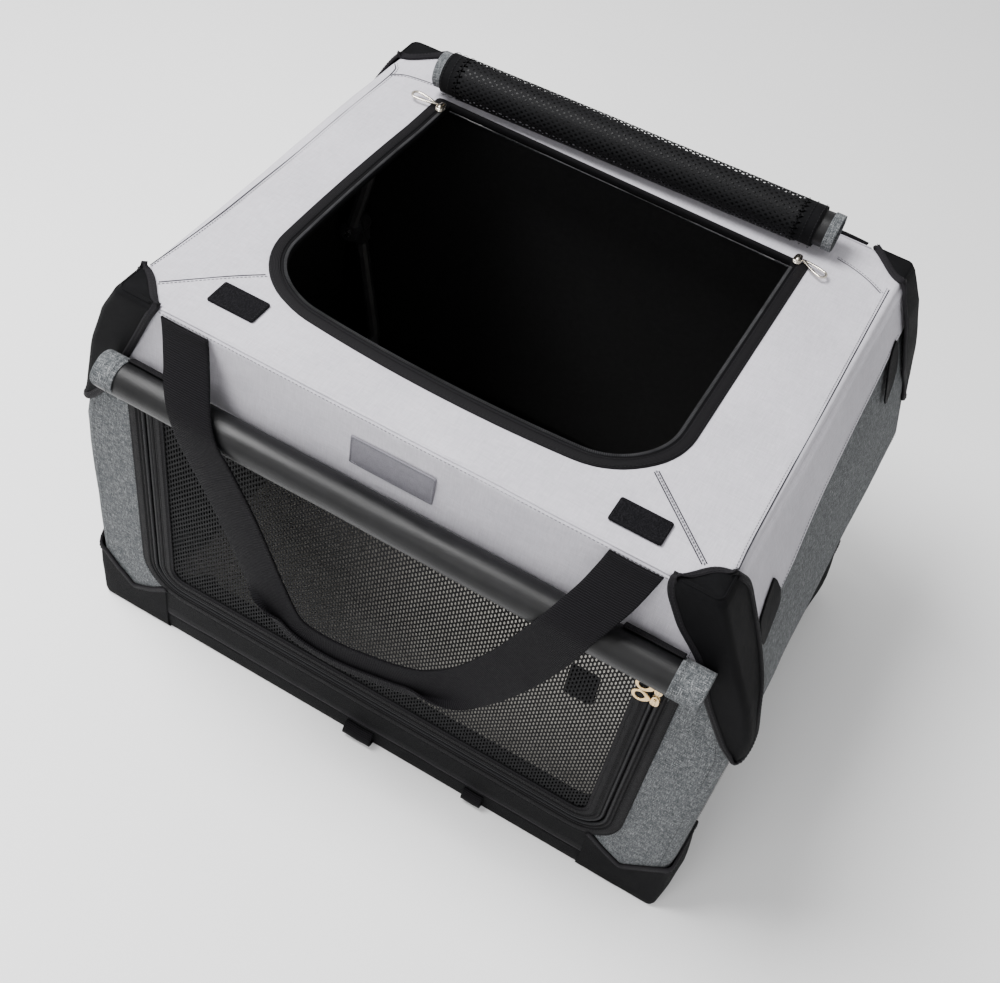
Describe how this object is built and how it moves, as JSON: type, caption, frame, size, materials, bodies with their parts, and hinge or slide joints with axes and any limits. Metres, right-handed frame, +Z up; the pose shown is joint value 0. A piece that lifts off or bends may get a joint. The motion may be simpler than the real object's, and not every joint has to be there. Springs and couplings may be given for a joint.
{
  "type": "folding dog crate",
  "caption": "Soft-sided folding crate for a small dog: fabric walls on knee-jointed steel frames, mesh front door, open roof hatch with rolled cover, two webbing handles.",
  "frame": {"origin": "middle of the footprint, on the underside that rests on the floor", "axes": "+X along the front from left to right, -Y the side with the door, +Z up"},
  "size_m": [0.6192, 0.5092, 0.4758],
  "materials": {
    "pale": "pale lilac-grey oxford weave",
    "heather": "mottled heather grey oxford weave",
    "binding": "black oxford and binding tape",
    "webbing": "ribbed black webbing",
    "lining": "coated black lining, semi-gloss",
    "mesh": "black open mesh",
    "plush": "light plush",
    "label": "woven patch, bare",
    "board": "black stiffening board",
    "plastic": "black moulded plastic",
    "steel": "grey powder-coated tube",
    "zip_metal": "pale gold plated zinc"
  },
  "bodies": {
    "base": {"base_tray": "binding", "base_frame": "steel", "floor_board": "board", "floor_pad": "plush", "bottom_guard_fl": "binding", "bottom_guard_fr": "binding", "bottom_guard_bl": "binding", "bottom_guard_br": "binding", "base_clip_left": "plastic", "base_clip_right": "plastic", "front_wall": "heather", "front_zip_border": "binding", "back_wall": "heather", "end_wall_left": "heather", "end_wall_right": "heather"},
    "lower_leg_left": {"leg_lower_left": "steel", "knuckle_fl": "plastic", "knuckle_bl": "plastic"},
    "lower_leg_right": {"leg_lower_right": "steel", "knuckle_fr": "plastic", "knuckle_br": "plastic"},
    "upper_leg_left": {"leg_upper_left": "steel"},
    "upper_leg_right": {"leg_upper_right": "steel"},
    "button_fl": {"knee_button_fl": "zip_metal"},
    "button_fr": {"knee_button_fr": "zip_metal"},
    "button_bl": {"knee_button_bl": "zip_metal"},
    "button_br": {"knee_button_br": "zip_metal"},
    "roof": {"top_frame": "steel", "top_panel": "pale", "top_zip_border": "binding", "front_band": "pale", "back_band": "pale", "side_band_left": "pale", "side_band_right": "pale", "top_clip_left": "plastic", "top_clip_right": "plastic", "top_guard_fl": "binding", "top_guard_fr": "binding", "top_guard_bl": "binding", "top_guard_br": "binding", "front_roll": "lining", "back_roll": "mesh", "top_patch_left": "binding", "top_patch_right": "binding", "label_patch": "label"},
    "door": {"front_door": "mesh", "door_patch": "binding"},
    "handle_front": {"front_handle": "webbing"},
    "handle_back": {"back_handle": "webbing"},
    "slider_door_low": {"door_slider_low": "zip_metal"},
    "slider_door_high": {"door_slider_high": "zip_metal"},
    "pull_door_low": {"door_pull_low": "zip_metal"},
    "pull_door_high": {"door_pull_high": "zip_metal"},
    "slider_roof_left": {"roof_slider_left": "zip_metal"},
    "slider_roof_right": {"roof_slider_right": "zip_metal"},
    "pull_roof_left": {"roof_pull_left": "zip_metal"},
    "pull_roof_right": {"roof_pull_right": "zip_metal"}
  },
  "joints": [
    {"name": "fold", "type": "hinge", "parent": "base", "child": "lower_leg_left", "pos_m": [-0.253, 0, 0.042], "axis": [0, -1, 0], "range_deg": [-97, 0], "deforming": ["front_wall", "back_wall", "front_zip_border", "end_wall_left", "end_wall_right", "front_door", "door_patch", "top_guard_fl", "top_guard_fr", "top_guard_bl", "top_guard_br", "front_handle", "back_handle"]},
    {"name": "knee_left", "type": "hinge", "parent": "lower_leg_left", "child": "upper_leg_left", "pos_m": [-0.2885, 0, 0.21], "axis": [0, -1, 0], "range_deg": [0, 194]},
    {"name": "roof_lift", "type": "hinge", "parent": "upper_leg_left", "child": "roof", "pos_m": [-0.253, 0, 0.378], "axis": [0, -1, 0], "range_deg": [-97, 0]},
    {"name": "fold_right", "type": "hinge", "parent": "base", "child": "lower_leg_right", "pos_m": [0.253, 0, 0.042], "axis": [0, 1, 0], "range_deg": [-97, 0]},
    {"name": "knee_right", "type": "hinge", "parent": "lower_leg_right", "child": "upper_leg_right", "pos_m": [0.2885, 0, 0.21], "axis": [0, 1, 0], "range_deg": [0, 194]},
    {"name": "button_fl", "type": "slide", "parent": "upper_leg_left", "child": "button_fl", "axis": [0, -1, 0], "range_m": [0, 0.0015], "stiffness_N_per_m": 1200, "springref_m": -0.001},
    {"name": "button_bl", "type": "slide", "parent": "upper_leg_left", "child": "button_bl", "axis": [0, 1, 0], "range_m": [0, 0.0015], "stiffness_N_per_m": 1200, "springref_m": -0.001},
    {"name": "button_fr", "type": "slide", "parent": "upper_leg_right", "child": "button_fr", "axis": [0, -1, 0], "range_m": [0, 0.0015], "stiffness_N_per_m": 1200, "springref_m": -0.001},
    {"name": "button_br", "type": "slide", "parent": "upper_leg_right", "child": "button_br", "axis": [0, 1, 0], "range_m": [0, 0.0015], "stiffness_N_per_m": 1200, "springref_m": -0.001},
    {"name": "door_swing", "type": "hinge", "parent": "roof", "child": "door", "pos_m": [0, -0.2125, 0.378], "axis": [1, 0, 0], "range_deg": [0, 80]},
    {"name": "handle_front", "type": "hinge", "parent": "roof", "child": "handle_front", "pos_m": [0, -0.219, 0.434], "axis": [-1, 0, 0], "range_deg": [0, 190]},
    {"name": "handle_back", "type": "hinge", "parent": "roof", "child": "handle_back", "pos_m": [0, 0.219, 0.434], "axis": [1, 0, 0], "range_deg": [0, 184]},
    {"name": "zip_door_low", "type": "slide", "parent": "roof", "child": "slider_door_low", "axis": [0, 0, -1], "range_m": [0, 0.165]},
    {"name": "zip_door_high", "type": "slide", "parent": "roof", "child": "slider_door_high", "axis": [0, 0, 1], "range_m": [0, 0.025]},
    {"name": "pull_door_low", "type": "hinge", "parent": "slider_door_low", "child": "pull_door_low", "pos_m": [0.2318, -0.2172, 0.299], "axis": [0, 0, 1], "range_deg": [0, 90]},
    {"name": "pull_door_high", "type": "hinge", "parent": "slider_door_high", "child": "pull_door_high", "pos_m": [0.2318, -0.2172, 0.313], "axis": [0, 0, 1], "range_deg": [0, 90]},
    {"name": "zip_roof_left", "type": "slide", "parent": "roof", "child": "slider_roof_left", "axis": [0, -1, 0], "range_m": [0, 0.21]},
    {"name": "zip_roof_right", "type": "slide", "parent": "roof", "child": "slider_roof_right", "axis": [0, -1, 0], "range_m": [0, 0.21]},
    {"name": "pull_roof_left", "type": "hinge", "parent": "slider_roof_left", "child": "pull_roof_left", "pos_m": [-0.1833, 0.138, 0.4385], "axis": [0, 1, 0], "range_deg": [0, 90]},
    {"name": "pull_roof_right", "type": "hinge", "parent": "slider_roof_right", "child": "pull_roof_right", "pos_m": [0.1703, 0.152, 0.4385], "axis": [0, -1, 0], "range_deg": [0, 90]}
  ],
  "couplings": [
    {"joint": "knee_left", "follows": "fold", "ratio": -2},
    {"joint": "roof_lift", "follows": "fold", "ratio": 1},
    {"joint": "fold_right", "follows": "fold", "ratio": 1},
    {"joint": "knee_right", "follows": "fold", "ratio": -2}
  ]
}
